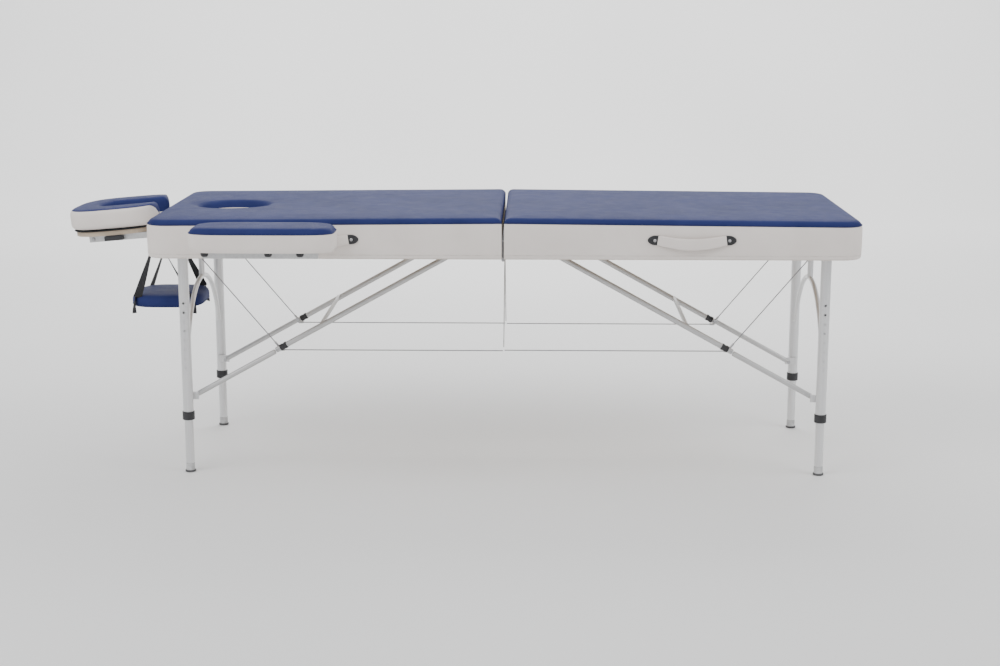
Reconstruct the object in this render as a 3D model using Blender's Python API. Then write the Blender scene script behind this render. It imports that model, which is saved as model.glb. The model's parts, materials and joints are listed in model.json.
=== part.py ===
"""Portable massage table: two hinged halves on folding legs, with a face cradle, an armrest and an arm sling.

Metres, +Z up. X runs along the table from the head end (-X) to the foot end (+X), and -Y is the side with
the carrying handles. The table is drawn about its centre hinge, and the last step moves it so that the
origin is the bottom centre of its bounding box.
"""

import math

import bmesh
import bpy
from mathutils import Matrix, Vector

# Driving dimensions
HALF_LENGTH = 0.930  # centre hinge to the outer end
HALF_WIDTH = 0.325
TOP_Z = 0.700  # cushion top
RIM_Z = 0.597  # lower edge of the frames
FRAME_TOP_Z = 0.650
DECK_TOP_Z = 0.656
GAP = 0.0003  # between touching pieces
CENTRE_GAP = 0.003  # centre plane to the end of each half
CORNER_R = 0.055
RAIL_T = 0.023
HINGE_Z = 0.592  # centre hinge axis

# Legs
LEG_X, LEG_Y, LEG_PIVOT_Z = 0.848, 0.246, 0.616
LEG_R, LEG_BORE_R = 0.014, 0.0122
LEG_TOP_Z, LEG_END_Z = 0.634, 0.150
INNER_R, INNER_BORE_R = 0.0115, 0.0098
INNER_TOP_Z = 0.430
BUTTON_Z, HOLE_PITCH = 0.390, 0.025
HOLES_ABOVE, HOLES_BELOW = 3, 4

# Brace linkage, in a half's own plane: x from the centre outward
STRUT_PIVOT = Vector((0.045, 0.6415))
LINK_DROP, LINK_OFFSET = 0.409, 0.018  # leg pivot to the link's pivot, down and towards the centre
STRUT_R, LINK_R = 0.0075, 0.0070
STRUT_Y, LINK_Y = 0.2022, 0.2178
CROSS_TUBE_AT = 0.506
CABLE_R = 0.0015

# Head end accessories
ROD_Y, ROD_Z, ROD_R = 0.105, 0.626, 0.008
CRADLE_PIVOT = Vector((-0.975, 0.626))
CRADLE_TILT = math.radians(5)
ARMREST_X = (-0.790, -0.420)
ARMREST_Y = (-0.490, -0.350)
ARMREST_RODS = (-0.740, -0.606)
HOLE_CENTRE_X, HOLE_A, HOLE_B = -0.752, 0.092, 0.076
HANDLE_X, HANDLE_HALF, HANDLE_Z = 0.487, 0.096, 0.648

MATERIALS = {
    "blue_leather": ((0.045, 0.070, 0.32), 0.45, 0.0),
    "white_vinyl": ((0.80, 0.77, 0.73), 0.45, 0.0),
    "plywood": ((0.55, 0.38, 0.22), 0.6, 0.0),
    "aluminium": ((0.72, 0.72, 0.73), 0.32, 1.0),
    "black_plastic": ((0.02, 0.02, 0.022), 0.5, 0.0),
    "rubber": ((0.10, 0.10, 0.10), 0.8, 0.0),
    "steel": ((0.45, 0.45, 0.46), 0.3, 1.0),
    "webbing": ((0.012, 0.012, 0.014), 0.9, 0.0),
}


def clear_scene():
    for item in list(bpy.data.objects):
        bpy.data.objects.remove(item)


def material(name):
    made = bpy.data.materials.get(name)
    if made:
        return made
    colour, roughness, metallic = MATERIALS[name]
    made = bpy.data.materials.new(name)
    made.use_nodes = True
    shader = made.node_tree.nodes["Principled BSDF"]
    shader.inputs["Base Color"].default_value = (*colour, 1)
    shader.inputs["Roughness"].default_value = roughness
    shader.inputs["Metallic"].default_value = metallic
    return made


def piece(name, bm, finish, smooth=True):
    bmesh.ops.recalc_face_normals(bm, faces=bm.faces)
    mesh = bpy.data.meshes.new(name)
    bm.to_mesh(mesh)
    bm.free()
    if smooth:
        mesh.shade_smooth()
        mesh.set_sharp_from_angle(angle=math.radians(35))
    made = bpy.data.objects.new(name, mesh)
    bpy.context.scene.collection.objects.link(made)
    made.data.materials.append(material(finish))
    return made


def helper(name, bm):
    """A cutter or an added shape, which isn't a piece of its own."""
    made = piece("helper_" + name, bm, "aluminium", smooth=False)
    made.hide_render = True
    made.display_type = "WIRE"
    return made


def combine(target, other, operation):
    step = target.modifiers.new(operation.lower(), "BOOLEAN")
    step.operation = operation
    step.object = other
    return target


def box(low, high):
    bm = bmesh.new()
    bmesh.ops.create_cube(bm, size=1)
    for vert in bm.verts:
        for axis in range(3):
            vert.co[axis] = low[axis] if vert.co[axis] < 0 else high[axis]
    return bm


def mirrored_box(side, x, y, z):
    """A box whose x pair is measured outward from the centre on the head side (-1) or foot side (+1)."""
    xs = sorted((side * x[0], side * x[1]))
    ys = sorted(y)
    return box((xs[0], ys[0], z[0]), (xs[1], ys[1], z[1]))


def rod(start, end, radius, sides=12):
    start, end = Vector(start), Vector(end)
    bm = bmesh.new()
    turn = (end - start).to_track_quat("Z", "Y").to_matrix().to_4x4()
    bmesh.ops.create_cone(bm, cap_ends=True, segments=sides, radius1=radius, radius2=radius,
                          depth=(end - start).length, matrix=Matrix.Translation((start + end) / 2) @ turn)
    return bm


def turned(profile, centre, sides=16):
    """A ring or tube about a vertical axis, from a closed profile of (radius, z) points."""
    bm = bmesh.new()
    rings = []
    for step in range(sides):
        angle = 2 * math.pi * step / sides
        rings.append([bm.verts.new((centre[0] + r * math.cos(angle), centre[1] + r * math.sin(angle), z))
                      for r, z in profile])
    for here, there in zip(rings, rings[1:] + rings[:1]):
        for i in range(len(profile)):
            j = (i + 1) % len(profile)
            bm.faces.new((here[i], here[j], there[j], there[i]))
    return bm


def prism(outline, low, high):
    bm = bmesh.new()
    base = bm.faces.new([bm.verts.new((x, y, low)) for x, y in outline])
    grown = bmesh.ops.extrude_face_region(bm, geom=[base])
    for item in grown["geom"]:
        if isinstance(item, bmesh.types.BMVert):
            item.co.z = high
    return bm


def ring_prism(outer, inner, low, high):
    """A prism between two outlines with the same number of points."""
    bm = bmesh.new()
    loops = [[bm.verts.new((x, y, z)) for x, y in outline]
             for outline, z in ((outer, low), (outer, high), (inner, high), (inner, low))]
    for a, b in zip(loops, loops[1:] + loops[:1]):
        for i in range(len(outer)):
            j = (i + 1) % len(outer)
            bm.faces.new((a[i], a[j], b[j], b[i]))
    return bm


def half_outline(side, inset=0.0, steps=6):
    """A half's plan: square at the centre hinge, rounded at the outer end."""
    near, far = CENTRE_GAP + inset, HALF_LENGTH - inset
    wide, radius = HALF_WIDTH - inset, CORNER_R - inset
    points = [(near, -wide)]
    for corner_y, first in ((-wide + radius, -90), (wide - radius, 0)):
        for step in range(steps + 1):
            angle = math.radians(first + 90 * step / steps)
            points.append((far - radius + radius * math.cos(angle), corner_y + radius * math.sin(angle)))
    points.append((near, wide))
    return [(side * x, y) for x, y in points]


def oval(centre, a, b, sides, power=2.0):
    """A superellipse: power 2 is an ellipse, more is squarer."""
    points = []
    for step in range(sides):
        angle = 2 * math.pi * step / sides
        c, s = math.cos(angle), math.sin(angle)
        points.append((centre[0] + a * math.copysign(abs(c) ** (2 / power), c),
                       centre[1] + b * math.copysign(abs(s) ** (2 / power), s)))
    return points


def ribbon(name, path, widths, thickness, finish):
    """A flat band along a path. Each width vector spans the band at its point."""
    bm = bmesh.new()
    sections = []
    for i, (point, width) in enumerate(zip(path, widths)):
        point, width = Vector(point), Vector(width)
        ahead = Vector(path[min(i + 1, len(path) - 1)]) - Vector(path[max(i - 1, 0)])
        normal = width.cross(ahead).normalized() * thickness / 2
        sections.append([bm.verts.new(point + a * width / 2 + b * normal)
                         for a, b in ((-1, -1), (1, -1), (1, 1), (-1, 1))])
    for a, b in zip(sections, sections[1:]):
        for i in range(4):
            j = (i + 1) % 4
            bm.faces.new((a[i], a[j], b[j], b[i]))
    bm.faces.new(sections[0])
    bm.faces.new(sections[-1][::-1])
    return piece(name, bm, finish, smooth=False)


def linkage():
    """Link pivot, strut direction and knee: strut and link lie in line when open and double back when folded."""
    open_foot = Vector((LEG_X - LINK_OFFSET, LEG_PIVOT_Z - LINK_DROP))
    folded_foot = Vector((LEG_X - LINK_DROP, LEG_PIVOT_Z + LINK_OFFSET))
    reach, back = (open_foot - STRUT_PIVOT).length, (folded_foot - STRUT_PIVOT).length
    strut = (reach + back) / 2
    direction = (open_foot - STRUT_PIVOT) / reach
    return open_foot, direction, STRUT_PIVOT + strut * direction


def face_hole(name, low, high, grow=0.0):
    return helper(name, prism(oval((HOLE_CENTRE_X, 0), HOLE_A + grow, HOLE_B + grow, 28), low, high))


def make_half(side, end):
    """Cushion, deck board and frame of one half."""
    cushion = piece(end + "_cushion", prism(half_outline(side), DECK_TOP_Z + GAP, TOP_Z), "blue_leather")
    deck = piece(end + "_deck_board", prism(half_outline(side, 0.004), FRAME_TOP_Z + GAP, DECK_TOP_Z), "plywood")
    if side < 0:
        combine(cushion, face_hole("cushion_hole", DECK_TOP_Z - 0.01, TOP_Z + 0.01), "DIFFERENCE")
        combine(deck, face_hole("deck_hole", FRAME_TOP_Z - 0.01, TOP_Z, 0.004), "DIFFERENCE")
    frame = piece(end + "_frame", ring_prism(half_outline(side), half_outline(side, RAIL_T), RIM_Z, FRAME_TOP_Z),
                  "plywood")
    add_frame_details(frame, side, end)


def add_frame_details(frame, side, end):
    inner_y = HALF_WIDTH - RAIL_T + 0.003
    rail = helper(end + "_leg_rail", mirrored_box(side, (0.870, 0.892), (-inner_y, inner_y), (0.627, 0.6495)))
    combine(frame, rail, "UNION")
    for lean in (-1, 1):
        for low, high in ((0.2605, 0.2655), (0.2255, 0.2315)):
            ear = mirrored_box(side, (0.836, 0.874), (lean * low, lean * high), (0.606, 0.6493))
            combine(frame, helper(f"{end}_leg_ear_{lean}_{low}", ear), "UNION")
        for low, high in ((0.2102, 0.2152), (0.1890, 0.1942)):
            ear = mirrored_box(side, (0.022, 0.053), (lean * low, lean * high), (0.630, 0.6493))
            combine(frame, helper(f"{end}_strut_ear_{lean}_{low}", ear), "UNION")
    if side > 0:
        return
    for lean in (-1, 1):
        bore = rod((-0.95, lean * ROD_Y, ROD_Z), (-0.79, lean * ROD_Y, ROD_Z), ROD_R + 0.0006, 16)
        combine(frame, helper(f"cradle_bore_{lean}", bore), "DIFFERENCE")
    for x in ARMREST_RODS:
        bore = rod((x, -0.34, ROD_Z), (x, -0.29, ROD_Z), ROD_R + 0.0006, 16)
        combine(frame, helper(f"armrest_bore_{x}", bore), "DIFFERENCE")


def make_centre_hinge():
    """A piano hinge under the joint, whose pin turns in both leaves, and the elastic cord on the pin."""
    knuckles = [-0.26, -0.13, 0.0, 0.13, 0.26]
    for side, end, own in ((-1, "head", knuckles[::2]), (1, "foot", knuckles[1::2])):
        leaf = piece(end + "_hinge_leaf",
                     mirrored_box(side, (0.0007, 0.0027), (-0.30, 0.30), (RIM_Z, 0.640)), "steel")
        for y in own:
            tab = mirrored_box(side, (0.0007, 0.0027), (y - 0.05, y + 0.05), (HINGE_Z + 0.0015, RIM_Z + 0.002))
            combine(leaf, helper(f"{end}_tab_{y}", tab), "UNION")
            barrel = rod((0, y - 0.05, HINGE_Z), (0, y + 0.05, HINGE_Z), 0.0042, 12)
            combine(leaf, helper(f"{end}_barrel_{y}", barrel), "UNION")
        bore = rod((0, -0.32, HINGE_Z), (0, 0.32, HINGE_Z), 0.0029, 12)
        combine(leaf, helper(end + "_pin_bore", bore), "DIFFERENCE")
    piece("centre_hinge_pin", rod((0, -0.312, HINGE_Z), (0, 0.312, HINGE_Z), 0.0025, 12), "steel")
    line = bpy.data.curves.new("centre_elastic_cord", "CURVE")
    line.dimensions = "3D"
    line.bevel_depth, line.bevel_resolution, line.use_fill_caps = 0.00125, 1, True
    spline = line.splines.new("POLY")
    points = [(0, -0.178, 0.333), (0, -0.006, 0.583), (0, 0.006, 0.583), (0, 0.178, 0.333)]
    spline.points.add(len(points) - 1)
    for target, point in zip(spline.points, points):
        target.co = (*point, 1)
    cord = bpy.data.objects.new("centre_elastic_cord", line)
    bpy.context.scene.collection.objects.link(cord)
    line.materials.append(material("webbing"))


def leg_tube(name, side, lean):
    x, y = side * LEG_X, lean * LEG_Y
    tube = piece(name, turned([(LEG_BORE_R, LEG_END_Z), (LEG_R, LEG_END_Z), (LEG_R, LEG_TOP_Z),
                               (LEG_BORE_R, LEG_TOP_Z)], (x, y)), "aluminium")
    tab_y = (lean * (LEG_Y - LEG_R - 0.0066), lean * (LEG_Y - LEG_R + 0.0012))
    foot_z = LEG_PIVOT_Z - LINK_DROP
    tab = mirrored_box(side, (LEG_X - LINK_OFFSET - 0.008, LEG_X + 0.006), tab_y, (foot_z - 0.010, foot_z + 0.010))
    combine(tube, helper(name + "_link_tab", tab), "UNION")
    bore = helper(name + "_bore", rod((x, y, LEG_END_Z - 0.01), (x, y, LEG_TOP_Z + 0.01), LEG_BORE_R, 16))
    combine(tube, bore, "DIFFERENCE")
    holes = bmesh.new()
    for step in range(-HOLES_BELOW, HOLES_ABOVE + 1):
        z = BUTTON_Z + step * HOLE_PITCH
        shape = rod((x, lean * (LEG_Y + 0.008), z), (x, lean * (LEG_Y + 0.020), z), 0.0032, 8)
        mesh = bpy.data.meshes.new("hole")
        shape.to_mesh(mesh)
        shape.free()
        holes.from_mesh(mesh)
    combine(tube, helper(name + "_holes", holes), "DIFFERENCE")
    button = rod((x, lean * (LEG_Y + 0.0125), BUTTON_Z), (x, lean * (LEG_Y + 0.0165), BUTTON_Z), 0.0028, 10)
    piece(name.replace("_leg_tube", "_lock_button"), button, "steel")


def make_leg(side, end, lean, where):
    name = f"{end}_{where}"
    x, y = side * LEG_X, lean * LEG_Y
    leg_tube(name + "_leg_tube", side, lean)
    collar = [(0.0120, 0.1455), (0.0165, 0.1455), (0.0165, 0.168), (LEG_R + GAP, 0.168),
              (LEG_R + GAP, LEG_END_Z - GAP), (0.0120, LEG_END_Z - GAP)]
    piece(name + "_collar", turned(collar, (x, y)), "black_plastic")
    inner = piece(name + "_inner_leg", turned([(INNER_BORE_R, 0.012), (INNER_R, 0.012), (INNER_R, INNER_TOP_Z),
                                               (INNER_BORE_R, INNER_TOP_Z)], (x, y)), "aluminium")
    slot_y = sorted((lean * (LEG_Y + 0.0080), lean * (LEG_Y + 0.0150)))
    slot = box((x - 0.004, slot_y[0], 0.300), (x + 0.004, slot_y[1], INNER_TOP_Z + 0.01))
    combine(inner, helper(name + "_slot", slot), "DIFFERENCE")
    foot = [(0.0001, 0.0), (0.0135, 0.0), (0.0145, 0.003), (0.0135, 0.022), (INNER_R + GAP, 0.024),
            (INNER_R + GAP, 0.012 - GAP), (0.0001, 0.012 - GAP)]
    bm = turned(foot, (x, y))
    bmesh.ops.remove_doubles(bm, verts=bm.verts, dist=0.0003)
    piece(name + "_rubber_foot", bm, "rubber")


def make_arch(side, end):
    """The bent tube between the legs and the post from its crown up to the leg pivots."""
    half_span, spring_z, rise, radius = LEG_Y - LEG_R - 0.0100, 0.320, 0.175, 0.0065
    peak = 1.25  # 1 is half an ellipse, 2 a parabola: narrow enough for the struts to fold past
    bm = bmesh.new()
    rings = []
    steps, sides, first = 18, 10, math.radians(4)
    for step in range(steps + 1):
        angle = first + (math.pi - 2 * first) * step / steps
        y, z = -half_span * math.cos(angle), spring_z + rise * math.sin(angle) ** peak
        climb = rise * peak * math.sin(angle) ** (peak - 1) * math.cos(angle)
        slope = Vector((0, half_span * math.sin(angle), climb)).normalized()
        across = Vector((1, 0, 0)).cross(slope)
        rings.append([bm.verts.new(Vector((side * LEG_X, y, z)) + radius * (
            math.cos(2 * math.pi * k / sides) * Vector((1, 0, 0)) + math.sin(2 * math.pi * k / sides) * across))
            for k in range(sides)])
    for a, b in zip(rings, rings[1:]):
        for k in range(sides):
            j = (k + 1) % sides
            bm.faces.new((a[k], a[j], b[j], b[k]))
    bm.faces.new(rings[0])
    bm.faces.new(rings[-1][::-1])
    arch = piece(end + "_leg_arch", bm, "aluminium")
    post = rod((side * LEG_X, 0, spring_z + rise - 0.002), (side * LEG_X, 0, 0.622), 0.0080, 12)
    combine(arch, helper(end + "_arch_post", post), "UNION")
    for lean in (-1, 1):
        stub = rod((side * LEG_X, lean * (half_span - 0.002), spring_z + 0.012),
                   (side * LEG_X, lean * (LEG_Y - LEG_R - 0.0008), spring_z + 0.012), 0.0060, 10)
        combine(arch, helper(f"{end}_arch_stub_{lean}", stub), "UNION")


def make_braces(side, end):
    foot, direction, knee = linkage()
    start, stop = STRUT_PIVOT - 0.004 * direction, knee + 0.004 * direction
    frame = piece(end + "_strut_frame",
                  rod((side * start.x, -STRUT_Y, start.y), (side * stop.x, -STRUT_Y, stop.y), STRUT_R), "aluminium")
    other = rod((side * start.x, STRUT_Y, start.y), (side * stop.x, STRUT_Y, stop.y), STRUT_R)
    cross = STRUT_PIVOT + CROSS_TUBE_AT * direction + 0.0035 * Vector((-direction.y, direction.x))
    tube = rod((side * cross.x, -STRUT_Y, cross.y), (side * cross.x, STRUT_Y, cross.y), 0.0055, 10)
    combine(frame, helper(end + "_cross_tube", tube), "UNION")
    combine(frame, helper(end + "_far_strut", other), "UNION")
    for lean, where in ((-1, "near"), (1, "far")):
        low, high = foot + 0.004 * direction, knee - 0.004 * direction
        link = rod((side * low.x, lean * LINK_Y, low.y), (side * high.x, lean * LINK_Y, high.y), LINK_R)
        piece(f"{end}_{where}_link", link, "aluminium")
        cable_y = lean * (0.188 if side < 0 else 0.183)
        cable_z = knee.y - 0.0037
        main = rod((side * (knee.x - 0.003), cable_y, cable_z), (side * 0.002, cable_y, cable_z), CABLE_R, 6)
        piece(f"{end}_{where}_main_cable", main, "steel")
        stay = rod((side * knee.x, lean * 0.188, knee.y + 0.006), (side * 0.866, lean * 0.188, 0.645), CABLE_R, 6)
        piece(f"{end}_{where}_stay_cable", stay, "steel")


def make_handle(side, end):
    """A sagging leather strap between its two anchors on the side rail."""
    bulge = 0.002 if side < 0 else 0.010
    path, widths = [], []
    for step in range(13):
        t = step / 6 - 1
        path.append((side * HANDLE_X + t * HANDLE_HALF, -HALF_WIDTH - 0.0055 - bulge * (1 - t * t),
                     HANDLE_Z - 0.022 * (1 - t * t)))
        widths.append((0, 0, 0.022))
    ribbon(end + "_handle_strap", path, widths, 0.004, "white_vinyl")


def make_cradle():
    """Rods that plug into the end rail, and the tilting frame, board and pad."""
    rods = piece("cradle_rods", rod((-0.80, -ROD_Y, ROD_Z), (-0.972, -ROD_Y, ROD_Z), ROD_R, 16), "aluminium")
    combine(rods, helper("far_rod", rod((-0.80, ROD_Y, ROD_Z), (-0.972, ROD_Y, ROD_Z), ROD_R, 16)), "UNION")
    half = 0.0065  # small enough for the board to turn past its corners
    bar = box((CRADLE_PIVOT.x - half, -0.118, ROD_Z - half), (CRADLE_PIVOT.x + half, 0.118, ROD_Z + half))
    combine(rods, helper("cradle_bar", bar), "UNION")

    turn = Matrix.Translation((CRADLE_PIVOT.x, 0, CRADLE_PIVOT.y)) @ Matrix.Rotation(-CRADLE_TILT, 4, "Y")
    tray = box((-0.150, -0.128, -0.006), (0.012, -0.1185, 0.010))
    frame = piece("cradle_frame", tray, "aluminium")
    combine(frame, helper("far_arm", box((-0.150, 0.1185, -0.006), (0.012, 0.128, 0.010))), "UNION")
    combine(frame, helper("end_arm", box((-0.150, -0.122, -0.006), (-0.140, 0.122, 0.010))), "UNION")
    board = piece("cradle_board", prism(cradle_outline(0.012), 0.0103, 0.0220), "plywood")
    cushion = piece("cradle_cushion", prism(cradle_outline(0.0), 0.0223, 0.0830), "blue_leather")
    lever = piece("cradle_lever", box((-0.105, -0.1440, -0.004), (-0.055, -0.1283, 0.008)), "black_plastic")
    for made in (frame, board, cushion, lever, bpy.data.objects["helper_far_arm"], bpy.data.objects["helper_end_arm"]):
        made.matrix_world = turn


def cradle_outline(inset):
    """A horseshoe: a rounded outline open towards the table, with the slot for the face."""
    a, b, centre = 0.128 - inset, 0.150 - inset, -0.086
    outer = oval((centre, 0), a, b, 40, 3.2)
    slot_a, slot_b = 0.062 + inset / 2, 0.048 + inset / 2
    keep = [p for p in outer if not (p[0] > centre and abs(p[1]) < slot_b)]
    mouth = centre + a
    arc = [(centre + 0.010 - slot_a * math.cos(math.radians(t)), slot_b * math.sin(math.radians(t)))
           for t in range(-80, 81, 16)]
    inner = [(mouth, -slot_b), *arc, (mouth, slot_b)]
    upper = [p for p in keep if p[1] > 0]
    lower = [p for p in keep if p[1] <= 0]
    upper.sort(key=lambda p: math.atan2(p[1], p[0] - centre))
    lower.sort(key=lambda p: math.atan2(p[1], p[0] - centre) % (2 * math.pi))
    return upper + lower + inner


def make_sling():
    """A padded board hung by two webbing loops from the cradle rods."""
    centre_x, half_x, low, high = -0.936, 0.100, 0.422, 0.456
    piece("sling_pad", prism(oval((centre_x, 0), half_x, 0.104, 28, 4.0), low, high), "blue_leather")
    for lean, where in ((-1, "near"), (1, "far")):
        y, top = lean * ROD_Y, Vector((-0.948, lean * ROD_Y, 0.6155))
        strap = None
        for x in (centre_x - half_x - 0.0025, centre_x + half_x + 0.0025):
            foot = Vector((x, y, 0.425))
            bend = top - Vector((0, 0, 0.026))
            path = [top, bend, *(bend.lerp(foot, t) for t in (0.33, 0.67, 1.0))]
            widths = [Vector((0.020, 0, 0)), Vector((0.020, 0, 0)), Vector((0.016, 0.008, 0)),
                      Vector((0.006, 0.013, 0)), Vector((0, 0.014, 0))]
            if strap is None:
                strap = ribbon(f"sling_{where}_strap", path, widths, 0.0022, "webbing")
                continue
            other = ribbon("helper_strap_" + where, path, widths, 0.0022, "webbing")
            other.hide_render, other.display_type = True, "WIRE"
            combine(strap, other, "UNION")
        loop = sling_loop((top.x, y, ROD_Z))
        combine(strap, helper(f"loop_{where}", loop), "UNION")


def sling_loop(centre, half_width=0.011, sides=12):
    """A webbing ring about a rod that runs along X."""
    bm = bmesh.new()
    rings = []
    for step in range(sides):
        angle = 2 * math.pi * (step + 0.5) / sides
        rings.append([bm.verts.new((centre[0] + x, centre[1] + r * math.cos(angle), centre[2] + r * math.sin(angle)))
                      for x, r in ((-half_width, 0.0088), (half_width, 0.0088), (half_width, 0.0112),
                                   (-half_width, 0.0112))])
    for a, b in zip(rings, rings[1:] + rings[:1]):
        for i in range(4):
            j = (i + 1) % 4
            bm.faces.new((a[i], a[j], b[j], b[i]))
    return bm


def make_armrest():
    """A padded side shelf on two rods that plug into the near rail."""
    (x0, x1), (y0, y1) = ARMREST_X, ARMREST_Y
    centre, a, b = ((x0 + x1) / 2, (y0 + y1) / 2), (x1 - x0) / 2, (y1 - y0) / 2
    piece("armrest_pad", prism(oval(centre, a, b, 32, 5.0), 0.6453, TOP_Z - 0.002), "blue_leather")
    piece("armrest_board", prism(oval(centre, a - 0.008, b - 0.008, 32, 5.0), 0.6353, 0.6450), "plywood")
    rods = [rod((x, -0.268, ROD_Z), (x, y0 + 0.03, ROD_Z), ROD_R, 16) for x in ARMREST_RODS]
    frame = piece("armrest_frame", rods[0], "aluminium")
    combine(frame, helper("second_rod", rods[1]), "UNION")
    bar = box((x0 + 0.04, y0 + 0.020, ROD_Z - 0.006), (x1 - 0.04, y0 + 0.036, ROD_Z + 0.009))
    combine(frame, helper("armrest_bar", bar), "UNION")


def stand_at_origin():
    """Parents every piece and helper to one empty, which puts the origin at the box's bottom centre."""
    bpy.context.view_layer.update()
    shown = [o for o in bpy.data.objects if not o.hide_render]
    corners = [o.matrix_world @ Vector(c) for o in shown for c in o.bound_box]
    low = [min(c[k] for c in corners) for k in range(3)]
    high = [max(c[k] for c in corners) for k in range(3)]
    base = bpy.data.objects.new("table_base", None)
    bpy.context.scene.collection.objects.link(base)
    for made in list(bpy.data.objects):
        if made is not base:
            made.parent = base
    base.location = (-(low[0] + high[0]) / 2, -(low[1] + high[1]) / 2, -low[2])
    bpy.context.view_layer.update()
    print("origin shift", tuple(round(v, 6) for v in base.location))


def main():
    clear_scene()
    for side, end in ((-1, "head"), (1, "foot")):
        make_half(side, end)
        for lean, where in ((-1, "near"), (1, "far")):
            make_leg(side, end, lean, where)
        make_arch(side, end)
        make_braces(side, end)
        make_handle(side, end)
    make_centre_hinge()
    make_cradle()
    make_sling()
    make_armrest()
    stand_at_origin()


main()
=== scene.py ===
import json
import math

import bmesh
import bpy
import numpy as np
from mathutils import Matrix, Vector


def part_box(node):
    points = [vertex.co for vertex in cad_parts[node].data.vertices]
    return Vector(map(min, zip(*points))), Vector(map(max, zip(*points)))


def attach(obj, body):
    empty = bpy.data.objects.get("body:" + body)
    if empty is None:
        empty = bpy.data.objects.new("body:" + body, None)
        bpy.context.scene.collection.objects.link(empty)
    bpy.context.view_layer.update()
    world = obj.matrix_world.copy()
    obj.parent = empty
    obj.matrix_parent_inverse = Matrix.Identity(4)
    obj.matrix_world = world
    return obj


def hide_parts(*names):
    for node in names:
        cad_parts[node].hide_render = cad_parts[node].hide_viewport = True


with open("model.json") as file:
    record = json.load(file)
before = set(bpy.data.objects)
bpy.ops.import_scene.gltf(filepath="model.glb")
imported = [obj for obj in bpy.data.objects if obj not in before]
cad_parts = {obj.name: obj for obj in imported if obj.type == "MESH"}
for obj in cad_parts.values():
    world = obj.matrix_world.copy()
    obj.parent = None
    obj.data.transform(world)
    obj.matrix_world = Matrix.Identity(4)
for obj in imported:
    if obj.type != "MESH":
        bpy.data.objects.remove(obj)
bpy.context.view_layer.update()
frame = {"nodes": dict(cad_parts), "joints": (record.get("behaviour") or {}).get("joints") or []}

joints = {j["name"]: j for j in frame["joints"]}


def low(node):
    return np.array(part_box(node)[0])


def high(node):
    return np.array(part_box(node)[1])


def middle(node):
    return (low(node) + high(node)) / 2


def pivot(name):
    return np.array(joints[name]["pos_m"])


# the middle of the table on the floor, which every place below is measured from
base = np.array([(high("head_frame")[0] + low("foot_frame")[0]) / 2, middle("head_frame")[1], 0.0])
halfLength = high("foot_frame")[0] - base[0]
halfWidth = (high("foot_frame")[1] - low("foot_frame")[1]) / 2
rimZ = low("foot_frame")[2]
topZ = high("foot_cushion")[2]
centreGap = low("foot_frame")[0] - base[0]
sides = (("head", -1), ("foot", 1))
rows = (("near", -1), ("far", 1))


# finishes: each kind of surface is a function, and the dictionary below them holds their colours
def newMaterial(name, colour, roughness, metallic=0.0, specular=0.5):
    made = bpy.data.materials.new(name)
    made.use_nodes = True
    shader = made.node_tree.nodes["Principled BSDF"]
    shader.inputs["Base Color"].default_value = (*colour, 1)
    shader.inputs["Roughness"].default_value = roughness
    shader.inputs["Metallic"].default_value = metallic
    shader.inputs["Specular IOR Level"].default_value = specular
    return made


def coordinates(mat, scale, kind="Object", turn=(0, 0, 0)):
    nodes, links = mat.node_tree.nodes, mat.node_tree.links
    where, mapping = nodes.new("ShaderNodeTexCoord"), nodes.new("ShaderNodeMapping")
    mapping.inputs["Scale"].default_value = scale
    mapping.inputs["Rotation"].default_value = turn
    links.new(where.outputs[kind], mapping.inputs["Vector"])
    return mapping.outputs["Vector"]


def noise(mat, vector, scale, detail=3.0, roughness=0.5):
    node = mat.node_tree.nodes.new("ShaderNodeTexNoise")
    node.inputs["Scale"].default_value = scale
    node.inputs["Detail"].default_value = detail
    node.inputs["Roughness"].default_value = roughness
    mat.node_tree.links.new(vector, node.inputs["Vector"])
    return node.outputs["Fac"]


def cells(mat, vector, scale):
    node = mat.node_tree.nodes.new("ShaderNodeTexVoronoi")
    node.inputs["Scale"].default_value = scale
    mat.node_tree.links.new(vector, node.inputs["Vector"])
    return node.outputs["Distance"]


def waves(mat, vector, scale, distortion=0.0, direction="X"):
    node = mat.node_tree.nodes.new("ShaderNodeTexWave")
    node.bands_direction = direction
    node.inputs["Scale"].default_value = scale
    node.inputs["Distortion"].default_value = distortion
    node.inputs["Detail"].default_value = 2.0
    mat.node_tree.links.new(vector, node.inputs["Vector"])
    return node.outputs["Fac"]


def tint(mat, fac, first, second, low=0.35, high=0.65):
    # the base colour runs from the first to the second as the pattern goes from low to high
    ramp = mat.node_tree.nodes.new("ShaderNodeValToRGB")
    ramp.color_ramp.elements[0].position, ramp.color_ramp.elements[1].position = low, high
    ramp.color_ramp.elements[0].color = (*first, 1)
    ramp.color_ramp.elements[1].color = (*second, 1)
    mat.node_tree.links.new(fac, ramp.inputs["Fac"])
    shader = mat.node_tree.nodes["Principled BSDF"]
    mat.node_tree.links.new(ramp.outputs["Color"], shader.inputs["Base Color"])


def dull(mat, fac, least, most):
    # the roughness runs from the least to the most with the pattern
    spread = mat.node_tree.nodes.new("ShaderNodeMapRange")
    spread.inputs["To Min"].default_value, spread.inputs["To Max"].default_value = least, most
    mat.node_tree.links.new(fac, spread.inputs["Value"])
    shader = mat.node_tree.nodes["Principled BSDF"]
    mat.node_tree.links.new(spread.outputs["Result"], shader.inputs["Roughness"])


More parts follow.
